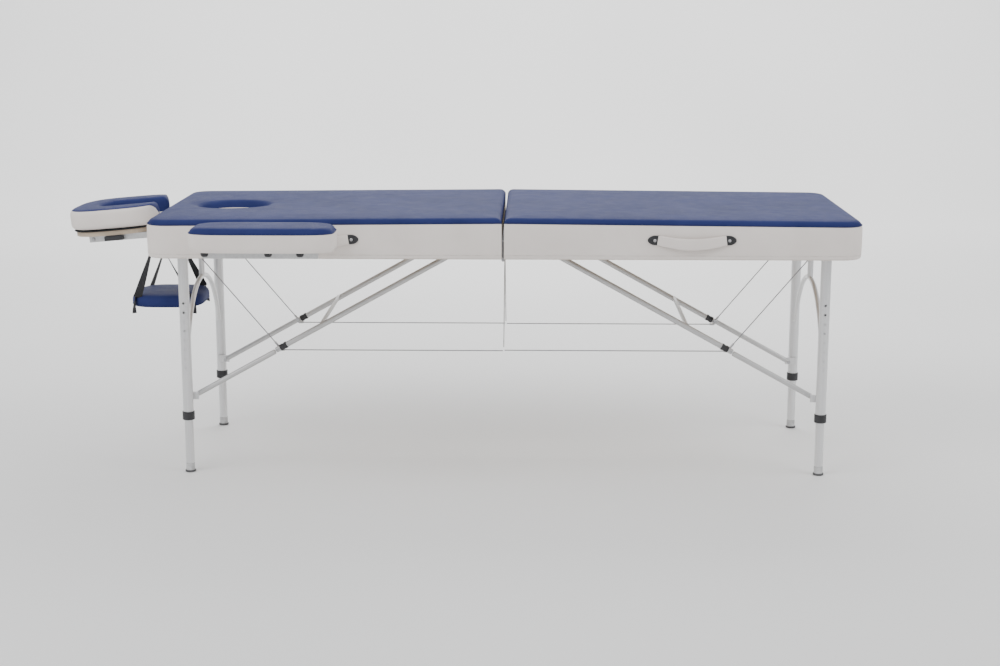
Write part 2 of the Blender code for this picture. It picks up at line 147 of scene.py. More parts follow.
def bump(mat, fac, distance, strength=1.0, before=None):
    node = mat.node_tree.nodes.new("ShaderNodeBump")
    node.inputs["Distance"].default_value = distance
    node.inputs["Strength"].default_value = strength
    mat.node_tree.links.new(fac, node.inputs["Height"])
    if before:
        mat.node_tree.links.new(before, node.inputs["Normal"])
    mat.node_tree.links.new(node.outputs["Normal"], mat.node_tree.nodes["Principled BSDF"].inputs["Normal"])
    return node.outputs["Normal"]


def leather(name, first, second, roughness, grain=850):
    # embossed grain cells under a soft wave of the foam behind
    mat = newMaterial(name, first, roughness, specular=0.05)
    vector = coordinates(mat, (1, 1, 1))
    tint(mat, noise(mat, vector, 9.0, 4.0), first, second)
    dull(mat, noise(mat, vector, 35.0), roughness - 0.06, roughness + 0.07)
    soft = bump(mat, noise(mat, vector, 14.0, 2.0), 0.0035, 0.5)
    bump(mat, cells(mat, vector, grain), 0.00022, 0.6, soft)
    return mat


def brushed(name, colour, roughness, stretch, metallic=1.0):
    # drawn metal: noise stretched along the tube
    mat = newMaterial(name, colour, roughness, metallic)
    vector = coordinates(mat, stretch)
    lines = noise(mat, vector, 1.0, 5.0, 0.7)
    darker = tuple(c * 0.86 for c in colour)
    tint(mat, lines, darker, colour)
    dull(mat, lines, roughness - 0.05, roughness + 0.1)
    bump(mat, lines, 0.00008, 0.35)
    return mat


def moulded(name, colour, roughness, scale=700, depth=0.0001):
    mat = newMaterial(name, colour, roughness)
    vector = coordinates(mat, (1, 1, 1))
    tint(mat, noise(mat, vector, 60.0), tuple(c * 0.8 for c in colour), tuple(c * 1.15 for c in colour))
    bump(mat, noise(mat, vector, scale, 2.0), depth, 0.6)
    return mat


def wood(name, pale, dark):
    mat = newMaterial(name, pale, 0.6)
    vector = coordinates(mat, (3, 60, 60))
    grain = noise(mat, vector, 1.2, 6.0, 0.65)
    tint(mat, grain, dark, pale, 0.3, 0.7)
    bump(mat, grain, 0.0003, 0.4)
    return mat


def woven(name, first, second, pitch):
    # ribs across the band and a herringbone along it, on the piece's own metres-long UV map
    mat = newMaterial(name, first, 0.85)
    ribs = waves(mat, coordinates(mat, (1, 1, 1), "UV"), pitch, 0.4, "X")
    twill = waves(mat, coordinates(mat, (1, 1, 1), "UV", (0, 0, math.radians(40))), pitch * 1.3, 0.0, "Y")
    tint(mat, twill, first, second, 0.2, 0.9)
    bump(mat, twill, 0.0004, 0.7, bump(mat, ribs, 0.0005, 0.8))
    return mat


finish = {
    "blue": leather("bluePu", (0.019, 0.027, 0.105), (0.025, 0.034, 0.125), 0.52),
    "white": leather("creamVinyl", (0.76, 0.70, 0.66), (0.80, 0.745, 0.705), 0.5, 700),
    "legMetal": brushed("drawnLeg", (0.76, 0.76, 0.765), 0.40, (900, 900, 7), 0.85),
    "braceMetal": brushed("drawnBrace", (0.60, 0.60, 0.60), 0.50, (12, 500, 500), 0.8),
    "castMetal": brushed("castBracket", (0.62, 0.62, 0.62), 0.42, (150, 150, 150)),
    "steel": brushed("zincSteel", (0.50, 0.50, 0.51), 0.3, (260, 30, 260)),
    "cable": newMaterial("wireRope", (0.30, 0.30, 0.31), 0.38, 0.9),
    "black": moulded("blackMoulding", (0.022, 0.022, 0.025), 0.42),
    "rubber": moulded("greyRubber", (0.085, 0.085, 0.088), 0.78, 500, 0.0002),
    "wood": wood("birchPly", (0.56, 0.46, 0.35), (0.42, 0.33, 0.24)),
    "webbing": woven("blackWebbing", (0.008, 0.008, 0.010), (0.035, 0.035, 0.04), 160),
    "piping": leather("bluePiping", (0.015, 0.022, 0.085), (0.019, 0.027, 0.10), 0.38, 900),
    "thread": moulded("creamThread", (0.66, 0.61, 0.57), 0.7, 1500, 0.0002),
    "greySleeve": moulded("greySleeve", (0.50, 0.50, 0.50), 0.45, 900),
    "elastic": moulded("greyElastic", (0.42, 0.42, 0.41), 0.7, 1200, 0.0002),
}
strands = waves(finish["cable"], coordinates(finish["cable"], (1, 1, 1), "UV", (0, 0, math.radians(35))), 260)
bump(finish["cable"], strands, 0.0004, 0.7)
print("materials ready")


def ringFaces(count, around, closedAlong, closedAround):
    # quads of a grid of points, wrapping in each direction that is closed
    i, j = np.meshgrid(np.arange(count if closedAlong else count - 1),
                       np.arange(around if closedAround else around - 1), indexing="ij")
    nextI, nextJ = (i + 1) % count, (j + 1) % around
    corners = (i * around + j, nextI * around + j, nextI * around + nextJ, i * around + nextJ)
    return np.stack(corners, -1).reshape(-1, 4)


def addMesh(name, verts, faces, look, uv, second=None, secondFaces=None, sharp=40):
    mesh = bpy.data.meshes.new(name)
    mesh.from_pydata(verts.tolist(), [], faces)
    layer = mesh.uv_layers.new(name="UVMap")
    index = np.zeros(len(mesh.loops), np.int32)
    mesh.loops.foreach_get("vertex_index", index)
    layer.data.foreach_set("uv", uv[index].astype(np.float32).ravel())
    mesh.materials.append(finish[look])
    if second:
        mesh.materials.append(finish[second])
        which = np.zeros(len(mesh.polygons), np.int32)
        which[secondFaces] = 1
        mesh.polygons.foreach_set("material_index", which)
    shape = bmesh.new()
    shape.from_mesh(mesh)
    bmesh.ops.recalc_face_normals(shape, faces=shape.faces)
    shape.to_mesh(mesh)
    shape.free()
    mesh.shade_smooth()
    mesh.set_sharp_from_angle(angle=math.radians(sharp))
    made = bpy.data.objects.new(name, mesh)
    bpy.context.scene.collection.objects.link(made)
    return made


def skin(name, points, look, closedAlong=False, closedAround=True, caps=True, **more):
    # a surface through rows of points; its first and last rows are closed with a flat face each
    count, around = points.shape[:2]
    faces = ringFaces(count, around, closedAlong, closedAround).tolist()
    if caps and not closedAlong:
        faces += [list(range(around)), list(range((count - 1) * around, count * around))]
    step = np.linalg.norm(np.diff(points, axis=0, prepend=points[:1]), axis=2).cumsum(0)
    ring = np.linalg.norm(np.diff(points, axis=1, prepend=points[:, :1]), axis=2).cumsum(1)
    uv = np.stack([step, ring], -1).reshape(-1, 2)
    return addMesh(name, points.reshape(-1, 3), faces, look, uv, **more)


def unit(vectors):
    return vectors / np.maximum(np.linalg.norm(vectors, axis=-1, keepdims=True), 1e-9)


def sweep(name, path, section, look, up=(0, 0, 1), twist=None, scale=None, closed=False):
    # a section carried along a path: each point is the path's, plus the section's two measures along
    # the sideways and upward directions there, turned by the twist
    path = np.asarray(path, float)
    ahead = unit(np.roll(path, -1, 0) - np.roll(path, 1, 0) if closed else np.gradient(path, axis=0))
    aside = unit(np.cross(ahead, np.broadcast_to(up, path.shape)))
    above = np.cross(aside, ahead)
    turn = np.zeros(len(path)) if twist is None else np.asarray(twist)
    grow = np.ones(len(path)) if scale is None else np.asarray(scale)
    c, s = np.cos(turn)[:, None], np.sin(turn)[:, None]
    u, v = c * aside + s * above, c * above - s * aside
    section = np.asarray(section, float)
    across = section[None, :, :1] * u[:, None] + section[None, :, 1:] * v[:, None]
    points = path[:, None] + grow[:, None, None] * across
    return skin(name, points, look, closedAlong=closed, caps=not closed)


def circle(radius, count=20):
    angle = np.linspace(0, 2 * math.pi, count, endpoint=False)
    return np.stack([radius * np.cos(angle), radius * np.sin(angle)], -1)


def band(width, thick, count=24):
    # a flat strap's section: an ellipse squared off by a power of its sine and cosine
    angle = np.linspace(0, 2 * math.pi, count, endpoint=False)
    c, s = np.cos(angle), np.sin(angle)
    return np.stack([width / 2 * np.sign(c) * abs(c) ** 0.3, thick / 2 * np.sign(s) * abs(s) ** 0.6], -1)


def tube(name, path, radius, look, up=(0, 0, 1), count=20):
    # a round tube whose last rings draw in, so that its ends have an eased edge
    path = np.asarray(path, float)
    ease = min(radius * 0.25, 0.001)
    first, last = unit(path[1] - path[0]), unit(path[-1] - path[-2])
    path = np.vstack([path[:1], path[:1] + first * ease, path[1:-1], path[-1:] - last * ease, path[-1:]])
    scale = np.ones(len(path))
    scale[[0, -1]] = 1 - ease / radius
    return sweep(name, path, circle(radius, count), look, up, scale=scale)


def between(start, end, count=6):
    t = np.linspace(0, 1, count)[:, None]
    return np.asarray(start) * (1 - t) + np.asarray(end) * t


def turned(name, centre, axis, profile, look, count=32, **more):
    # a profile of (radius, height) pairs turned about an axis through the centre
    axis = unit(np.asarray(axis, float))
    first = unit(np.cross(axis, (0.31, 0.87, 0.38)))
    other = np.cross(axis, first)
    angle = np.linspace(0, 2 * math.pi, count, endpoint=False)
    ring = np.cos(angle)[:, None] * first + np.sin(angle)[:, None] * other
    profile = np.asarray(profile, float)
    points = np.asarray(centre) + profile[:, None, 1:] * axis + profile[:, None, :1] * ring
    return skin(name, points, look, **more)


def keep(piece, body, slot, *nodes, fill=None):
    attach(piece, body)
    if nodes:
        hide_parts(*nodes)
    return piece


def squircle(a, b, power, count=96):
    # the superellipse |x/a|^power + |y/b|^power = 1
    angle = np.linspace(0, 2 * math.pi, count, endpoint=False)
    c, s = np.cos(angle), np.sin(angle)
    return np.stack([a * np.sign(c) * abs(c) ** (2 / power), b * np.sign(s) * abs(s) ** (2 / power)], -1)


# places are measured from the middle of the table on the floor, in metres; angles are in degrees
studio = {"cameraX": 0.078, "cameraBack": 4.574, "cameraHeight": 1.287, "down": 11.76, "left": 1.15,
          "lens": 59.9, "worldColour": (0.97, 0.98, 1.0, 1), "worldStrength": 0.85, "aimHeight": 0.5,
          "softboxes": (((-2.6, -2.4, 3.6), (3.2, 2.2), 95), ((2.9, -1.2, 3.2), (2.4, 2.4), 60),
                        ((0.2, 2.6, 3.4), (3.6, 1.6), 60)),
          "washPlace": (0, 3.6, 5.2), "washSize": (9.0, 1.5), "washPower": 520, "washTilt": 50,
          "paper": (0.80, 0.80, 0.795), "paperDark": (0.78, 0.78, 0.775), "paperPale": (0.82, 0.82, 0.815),
          "bendRadius": 2.5, "wallY": 7.0, "frontY": -12.0, "wallTop": 12.0, "halfWidth": 14.0,
          "below": 0.0004}


def areaLight(name, place, size, power, turn):
    lamp = bpy.data.lights.new(name, "AREA")
    lamp.shape, lamp.size, lamp.size_y, lamp.energy = "RECTANGLE", *size, power
    box = bpy.data.objects.new(name, lamp)
    bpy.context.scene.collection.objects.link(box)
    box.location = base + np.array(place)
    box.rotation_euler = turn


def makeStudio():
    camera = bpy.data.objects.new("camera", bpy.data.cameras.new("camera"))
    bpy.context.scene.collection.objects.link(camera)
    camera.data.lens, camera.data.sensor_width = studio["lens"], 36
    camera.location = base + np.array([studio["cameraX"], -studio["cameraBack"], studio["cameraHeight"]])
    camera.rotation_euler = (math.radians(90 - studio["down"]), 0, math.radians(studio["left"]))
    bpy.context.scene.camera = camera

    world = bpy.data.worlds.new("studio")
    bpy.context.scene.world = world
    world.use_nodes = True
    world.node_tree.nodes["Background"].inputs["Color"].default_value = studio["worldColour"]
    world.node_tree.nodes["Background"].inputs["Strength"].default_value = studio["worldStrength"]

    for place, size, power in studio["softboxes"]:
        aim = -np.array(place) + np.array([0, 0, studio["aimHeight"]])
        pitch = math.atan2(math.hypot(aim[0], aim[1]), -aim[2])
        areaLight("softbox", place, size, power, (pitch, 0, math.atan2(aim[0], -aim[1]) + math.pi))
    areaLight("wallWash", studio["washPlace"], studio["washSize"], studio["washPower"],
              (math.radians(studio["washTilt"]), 0, 0))

    # a floor that turns up into a wall along a quarter circle
    bend = np.linspace(-math.pi / 2, 0, 24)
    radius, wallY = studio["bendRadius"], studio["wallY"]
    floorY = np.concatenate([[studio["frontY"]], wallY - radius + radius * np.cos(bend), [wallY]])
    floorZ = np.concatenate([[0.0], radius + radius * np.sin(bend), [studio["wallTop"]]])
    acrossX = np.broadcast_to(np.array([-1, 1]) * studio["halfWidth"], (len(floorY), 2))
    sheet = np.stack([acrossX, np.repeat(floorY[:, None], 2, 1), np.repeat(floorZ[:, None], 2, 1)], -1) + base
    paper = newMaterial("paperSweep", studio["paper"], 0.85, specular=0.2)
    cloud = noise(paper, coordinates(paper, (1, 1, 1)), 0.5, 1.0)
    tint(paper, cloud, studio["paperDark"], studio["paperPale"])
    finish["paper"] = paper
    sheet = sheet - np.array([0, 0, studio["below"]])
    skin("backdrop", sheet, "paper", closedAround=False, caps=False)


makeStudio()
print("studio ready")


# the two upholstered halves, in metres
halfPad = {"outerCorner": 0.055, "innerCorner": 0.007, "roll": 0.017, "seamZ": 0.6785, "lift": 0.008,
           "crown": 0.0025, "underTop": 0.0045, "bandOut": 0.0016, "bandUnder": 0.0016, "lowerRoll": 0.006,
           "tuck": 0.016, "pipingRadius": 0.0017, "pipingAboveSeam": 0.0042, "stitchAboveRim": 0.010}
faceHole = {"x": -0.752, "a": 0.092, "b": 0.076, "roll": 0.020, "wall": 0.034, "tuckZ": 0.042, "tuck": 1.10}
outline = {"corner": 14, "along": 44, "across": 20}  # points on each arc, each long side and each end


def halfOutline(side, inset):
    # a rectangle with quarter-circle corners, walked once round: (outward x, y) for a given inset
    near, far, wide = centreGap + inset, halfLength - inset, halfWidth - inset
    outer = max(halfPad["outerCorner"] - inset, 0.006)
    inner = max(halfPad["innerCorner"] - inset, 0.004)
    corners = ((far - outer, -wide + outer, outer, -90), (far - outer, wide - outer, outer, 0),
               (near + inner, wide - inner, inner, 90), (near + inner, -wide + inner, inner, 180))
    arcs = []
    for x, y, r, start in corners:
        angle = np.radians(start + np.linspace(0, 90, outline["corner"]))
        arcs.append(np.stack([x + r * np.cos(angle), y + r * np.sin(angle)], -1))
    runs = []
    counts = (outline["across"], outline["along"]) * 2
    for arc, following, count in zip(arcs, arcs[1:] + arcs[:1], counts):
        runs += [arc, between(arc[-1], following[0], count + 2)[1:-1]]
    points = np.vstack(runs)
    return np.stack([side * points[:, 0], points[:, 1]], -1)


def lift(x):
    # the tension cables bow the top up a little towards the centre hinge
    return halfPad["lift"] * (1 - np.abs(x) / halfLength)


def makeTop(end, side):
    # rings go up the side, round the edge and across the top to the face hole or to the middle
    roll, seam = halfPad["roll"], halfPad["seamZ"]
    bend = np.radians(np.linspace(0, 90, 9))
    insets = np.concatenate([[0.006, 0.0012, 0.0], roll * (1 - np.cos(bend)), [0.024, 0.034, 0.05]])
    edgeTop = topZ - halfPad["underTop"]
    heights = np.concatenate([[seam - 0.006, seam - 0.003, seam], edgeTop - roll + roll * np.sin(bend),
                              edgeTop + halfPad["crown"] * np.array([0.3, 0.6, 0.85])])
    heights[2] = min(heights[2], heights[3] - 0.0005)
    rings = []
    for inset, z in zip(insets, heights):
        flat = halfOutline(side, inset)
        rings.append(np.column_stack([flat, z + lift(flat[:, 0])]))
    edge = rings[-1]
    if side < 0:
        # the hole is an ellipse whose points stand in the same directions as the outline's
        a, b = faceHole["a"], faceHole["b"]
        centre = np.array([faceHole["x"], 0.0])
        angle = np.arctan2(edge[:, 1] / b, (edge[:, 0] - faceHole["x"]) / a)
        ring = np.stack([a * np.cos(angle), b * np.sin(angle)], -1)
        dip = np.radians(np.linspace(0, 90, 8))
        grow = 1 + faceHole["roll"] * (1 - np.sin(dip)) / b
        fall = faceHole["roll"] * (1 - np.cos(dip))
        for t in (0.15, 0.35, 0.55, 0.75, 0.9):
            flat = edge[:, :2] * (1 - t) + (centre + ring * grow[0]) * t
            rings.append(np.column_stack([flat, topZ - 0.0015 - 0.0025 * t ** 3 + lift(flat[:, 0])]))
        for g, f in zip(grow, fall):
            flat = centre + ring * g
            rings.append(np.column_stack([flat, topZ - 0.004 - f + lift(flat[:, 0])]))
        flat = centre + ring
        for drop in (faceHole["wall"] * 0.8, faceHole["wall"] + 0.008):
            rings.append(np.column_stack([flat, topZ - 0.004 - drop + lift(flat[:, 0])]))
        flat = centre + ring * faceHole["tuck"]
        rings.append(np.column_stack([flat, topZ - faceHole["tuckZ"] + lift(flat[:, 0])]))
    else:
        middleX = side * (halfLength + centreGap) / 2
        for t in (0.2, 0.5, 0.8, 0.99):
            flat = edge[:, :2] * (1 - t) + np.array([middleX, 0]) * t
            rings.append(np.column_stack([flat, topZ - 0.0015 + lift(flat[:, 0])]))
    points = np.stack(rings) + base
    lining = {}
    if side < 0:
        # the last three rows of faces before the one that closes the loop are the hole's pale lining
        around, wallRow = points.shape[1], len(points) - 4
        lining = {"second": "white", "secondFaces": np.arange(wallRow * around, (wallRow + 3) * around)}
    # the head half's last ring joins its first under the foam, round the hole
    top = skin(end + "Top", points, "blue", closedAlong=side < 0, caps=side > 0, **lining)
    return keep(top, end + "_half", "upholstery", end + "_cushion", fill=0.95)


def bandPath(side):
    # the outline from the centre hinge round the outer end and back, without the run along the hinge
    flat = halfOutline(side, 0.0)
    corner, along, across = outline["corner"], outline["along"], outline["across"]
    lastArcEnd = 4 * corner + 2 * across + along - 1
    ring = np.roll(flat, -lastArcEnd, axis=0)[:2 * along + 2 * corner + across + 2]
    ends = np.array([[side * (centreGap + 0.0004), -halfWidth], [side * (centreGap + 0.0004), halfWidth]])
    return np.vstack([ends[:1], ring, ends[1:]])


def makeBand(end, side):
    # a cream cover: down from the seam, round the lower edge and a little way in underneath;
    # its profile is pairs of (distance in from the outline, height)
    tuck, lowerRoll = halfPad["tuck"], halfPad["lowerRoll"]
    rim, seam = rimZ - halfPad["bandUnder"], halfPad["seamZ"]
    bend = np.radians(np.linspace(0, 90, 6))
    faceIn = np.array([0.0002, -0.0012, -0.0024, -0.0028, -0.0024])
    faceZ = np.array([seam + 0.0035, seam + 0.0015, seam - 0.004, seam - 0.03, rimZ + 0.02])
    underIn = lowerRoll * (1 - np.cos(bend)) - halfPad["bandOut"]
    underZ = rim + lowerRoll * (1 - np.sin(bend))
    liningIn = np.array([tuck, tuck, 0.0052, -0.0003, -0.0003, 0.0016])
    liningZ = np.array([rim, rimZ - 0.0004, rimZ - 0.0004, rimZ + 0.004, seam - 0.02, seam + 0.001])
    profile = np.stack([np.concatenate([faceIn, underIn, liningIn]),
                        np.concatenate([faceZ, underZ, liningZ])], -1)
    path = bandPath(side)
    ahead = np.gradient(path, axis=0)
    outward = side * unit(np.stack([ahead[:, 1], -ahead[:, 0]], -1))
    flat = path[:, None] - outward[:, None] * profile[None, :, :1]
    z = np.broadcast_to(profile[:, 1], flat.shape[:2])
    share = np.clip((z - rimZ) / (seam - rimZ), 0, 1)
    z = z + lift(flat[..., 0]) * share
    cover = skin(end + "Band", np.concatenate([flat, z[..., None]], -1) + base, "white")
    keep(cover, end + "_half", "white_vinyl")
    cordZ = seam + halfPad["pipingAboveSeam"] + lift(path[:, 0])
    cordPath = np.column_stack([path + outward * 0.0004, cordZ]) + base
    cord = sweep(end + "SeamPiping", cordPath, circle(halfPad["pipingRadius"], 10), "piping")
    keep(cord, end + "_half", "upholstery")
    stitchZ = np.full(len(path), rimZ + halfPad["stitchAboveRim"])
    stitchPath = np.column_stack([path + outward * 0.0022, stitchZ]) + base
    stitch = sweep(end + "RimStitch", stitchPath, circle(0.0005, 6), "thread")
    keep(stitch, end + "_half", "white_vinyl")


for end, side in sides:
    makeTop(end, side)
    makeBand(end, side)
print("halves ready")


# a carrying handle on each half
handle = {"x": 0.487, "half": 0.088, "z": 0.648, "sag": 0.010, "width": 0.025, "thick": 0.0055, "swell": 0.18,
          "standOff": 0.0055, "headBulge": 0.002, "footBulge": 0.009,
          "plateHalf": 0.020, "plateHeight": 0.0125, "plateOut": 0.006, "plateFace": 0.0026,
          "plateTaper": 0.45}


def makeHandle(end, side):
    # the strap's middle line sags and stands out by 1 - t^2 from end to end
    t = np.linspace(-1, 1, 33)
    bow = 1 - t ** 2
    bulge = handle["headBulge"] if side < 0 else handle["footBulge"]
    path = np.stack([side * handle["x"] + t * handle["half"], -halfWidth - handle["standOff"] - bulge * bow,
                     handle["z"] - handle["sag"] * bow ** 1.2], -1) + base
    strap = sweep(end + "Handle", path, band(handle["width"], handle["thick"]), "white", up=(0, -1, 0),
                  scale=1 + handle["swell"] * bow)
    keep(strap, end + "_handle", "white_vinyl", end + "_handle_strap", fill=0.8)
    for turn in (-1, 1):
        # a plate with one square end and one round end, on the cover's face
        middleX = side * handle["x"] + turn * (handle["half"] + handle["plateOut"])
        flat = squircle(handle["plateHalf"], handle["plateHeight"], 3.2, 48)
        outward = np.clip(turn * flat[:, 0] / handle["plateHalf"], 0, 1)
        flat[:, 1] *= 1 - handle["plateTaper"] * outward ** 2
        layers = ((1.0, 0.0), (1.0, 0.0022), (0.93, 0.0032), (0.55, 0.0036), (0.50, 0.0052), (0.40, 0.0056))
        grow, rise = np.array(layers).T[:, :, None]
        faceY = np.broadcast_to(-halfWidth - handle["plateFace"] - rise, (len(layers), len(flat)))
        rings = np.stack([middleX + flat[:, 0] * grow, faceY, handle["z"] + flat[:, 1] * grow], -1)
        plate = skin(f"{end}HandlePlate{turn + 1}", rings + base, "black")
        keep(plate, end + "_half", "black_plastic")
        spot = base + np.array([middleX + turn * 0.002, -halfWidth - 0.0080, handle["z"]])
        head = ((0.0040, 0.0), (0.0040, 0.0008), (0.0034, 0.0018), (0.0018, 0.0024), (0.0012, 0.0012))
        keep(turned(f"{end}HandleScrew{turn + 1}", spot, (0, -1, 0), head, "steel"), end + "_half", "steel")


for end, side in sides:
    makeHandle(end, side)
print("handles ready")


def padRings(flat, layers):
    # the outline drawn in by a share of its size at each height
    return np.stack([np.column_stack([flat * g, np.full(len(flat), z)]) for g, z in layers])


# each pad's shape is pairs of (share of the outline, share of the height)
armrest = {"power": 4.6, "around": 128, "seamRow": 6, "blueFrom": 6, "piping": 0.0013,
           "shape": ((0.90, 0.0), (0.975, 0.01), (0.992, 0.06), (1.0, 0.26), (1.0, 0.60), (0.997, 0.74),
                     (0.992, 0.755), (0.982, 0.80), (0.962, 0.89), (0.925, 0.955), (0.86, 0.985), (0.6, 1.0),
                     (0.2, 1.0), (0.01, 1.0)),
           "knob": ((0.0095, 0.0), (0.0100, 0.002), (0.0092, 0.007), (0.0070, 0.0098), (0.002, 0.0105)),
           "knobIn": 0.020}


def makeArmrest():
    # superellipse rings stacked from under the board to the middle of the top
    lowest, highest = low("armrest_pad"), high("armrest_pad")
    centre, size = (lowest + highest) / 2, (highest - lowest) / 2
    flat = squircle(size[0], size[1], armrest["power"], armrest["around"])
    lowZ, highZ = low("armrest_board")[2] - 0.0002, highest[2]
    rings = padRings(flat, [(g, lowZ + (highZ - lowZ) * h) for g, h in armrest["shape"]])
    rings += np.array([centre[0], centre[1], 0])
    sideFaces = (len(rings) - 1) * len(flat)  # the two faces after these close the bottom and the top
    blueFaces = np.append(np.arange(armrest["blueFrom"] * len(flat), sideFaces), sideFaces + 1)
    pad = skin("armrestPad", rings, "white", second="blue", secondFaces=blueFaces)
    keep(pad, "armrest", "upholstery", "armrest_pad", "armrest_board", fill=0.9)
    seamRing = rings[armrest["seamRow"]]
    cord = sweep("armrestSeam", seamRing, circle(armrest["piping"], 8), "piping", closed=True)
    keep(cord, "armrest", "upholstery")
    for i, x in enumerate((lowest[0] + 0.045, centre[0] + 0.02, highest[0] - 0.085)):
        spot = np.array([x, lowest[1] + armrest["knobIn"], lowZ - 0.0002])
        knob = turned(f"armrestKnob{i}", spot, (0, 0, -1), armrest["knob"], "black")
        keep(knob, "armrest", "black_plastic")


cradle = {"centre": -0.086, "a": 0.127, "b": 0.149, "slotA": 0.062, "slotB": 0.048,
          "low": 0.0268, "high": 0.0835, "tilt": 5,
          "mouth": 30, "square": 0.62, "slotShift": 0.010, "section": 0.42,
          "stripLow": 0.0225, "stripHigh": 0.0266, "stripIn": 0.006, "screw": (-0.139, 0.1283, 0.002)}


def tilted(points):
    # from the cradle's own frame, level and centred on its hinge, to its place
    angle = math.radians(cradle["tilt"])
    hinge = pivot("cradle_tilt")
    x = hinge[0] + points[..., 0] * math.cos(angle) - points[..., 2] * math.sin(angle)
    z = hinge[2] + points[..., 0] * math.sin(angle) + points[..., 2] * math.cos(angle)
    return np.stack([x, base[1] + points[..., 1], z], -1)


def squared(wave, power):
    # a sine or a cosine raised to a power with its sign kept, which squares a circle off
    return np.sign(wave) * abs(wave) ** power


def horseshoe(name, lowZ, highZ, inset, look, second=None, around=40, along=140):
    # a rounded section carried round a horseshoe: its width runs from the outer loop to the slot's loop
    t = np.linspace(0, 1, along)
    start = math.radians(cradle["mouth"])
    angle = start + (2 * math.pi - 2 * start) * t
    c, s = np.cos(angle), np.sin(angle)
    a, b = cradle["a"] - inset, cradle["b"] - inset
    reach = cradle["centre"] + a
    outer = np.stack([cradle["centre"] + a * squared(c, cradle["square"]),
                      b * squared(s, cradle["square"])], -1)
    outer[:, 0] = np.minimum(outer[:, 0], reach)
    slotA, slotB = cradle["slotA"] + inset, cradle["slotB"] + inset
    slotX = cradle["centre"] + cradle["slotShift"] + slotA * c
    slotY = slotB * np.sign(s) * np.minimum(1, abs(s) * 1.25)
    # near the mouth the slot's loop straightens towards the table
    widen = np.clip((abs(angle - math.pi) - math.radians(88)) / math.radians(62), 0, 1)
    inner = np.stack([slotX * (1 - widen) + (reach - 0.004) * widen,
                      slotY * (1 - widen) + np.sign(s) * slotB * widen], -1)
    turn = np.linspace(0, 2 * math.pi, around, endpoint=False)
    w = 0.5 - 0.5 * squared(np.cos(turn), cradle["section"])
    h = squared(np.sin(turn), cradle["section"])
    # the section shrinks to nothing round a quarter circle at each end
    ends = np.clip(np.minimum(t, 1 - t) / 0.05, 0, 1)
    full = np.sqrt(1 - (1 - ends) ** 2) * 0.999 + 0.001
    share = 0.5 + (w[None] - 0.5) * full[:, None]
    flat = outer[:, None] * (1 - share[..., None]) + inner[:, None] * share[..., None]
    z = (lowZ + highZ) / 2 + (highZ - lowZ) / 2 * h[None] * full[:, None]
    points = tilted(np.concatenate([flat, z[..., None]], -1))
    extra = {}
    if second:
        # the top of the section and the slot's wall take the second finish
        quads = (h > 0.80) & (np.roll(h, -1) > 0.60) | ((w > 0.9) & (h > -0.4))
        extra = {"second": second, "secondFaces": np.nonzero(np.tile(quads, along - 1))[0]}
    return skin(name, points, look, **extra)


def makeCradle():
    pad = horseshoe("cradlePad", cradle["low"], cradle["high"], 0.0, "white", "blue")
    keep(pad, "cradle", "upholstery", "cradle_cushion", fill=0.85)
    strip = horseshoe("cradleHookStrip", cradle["stripLow"], cradle["stripHigh"], cradle["stripIn"],
                      "webbing", around=12)
    keep(strip, "cradle", "webbing")
    x, y, z = cradle["screw"]
    head = ((0.0052, 0.0), (0.0052, 0.0010), (0.0040, 0.0026), (0.0012, 0.0032))
    for turn in (-1, 1):
        spot = tilted(np.array([x, turn * y, z]))
        keep(turned(f"cradleArmScrew{turn + 1}", spot, (0, turn, 0), head, "steel"), "cradle", "steel")


makeArmrest()
makeCradle()
print("armrest and cradle ready")


sling = {"power": 3.4, "around": 112, "seamRow": 2, "piping": 0.0013,
         "shape": ((0.90, 0.0), (0.965, 0.04), (0.992, 0.16), (1.0, 0.36), (0.996, 0.58), (0.975, 0.78),
                   (0.93, 0.90), (0.84, 0.97), (0.6, 1.0), (0.25, 1.0), (0.01, 1.0)),
         "loopRadius": 0.0100, "loopWidth": 0.024, "strapWidth": 0.022, "strapThick": 0.0018,
         "footOut": 0.975, "footHigh": 0.80, "widest": 0.86, "sag": 0.003,
         "tailWidth": 0.014, "tailThick": 0.0016, "tailLength": 0.045}


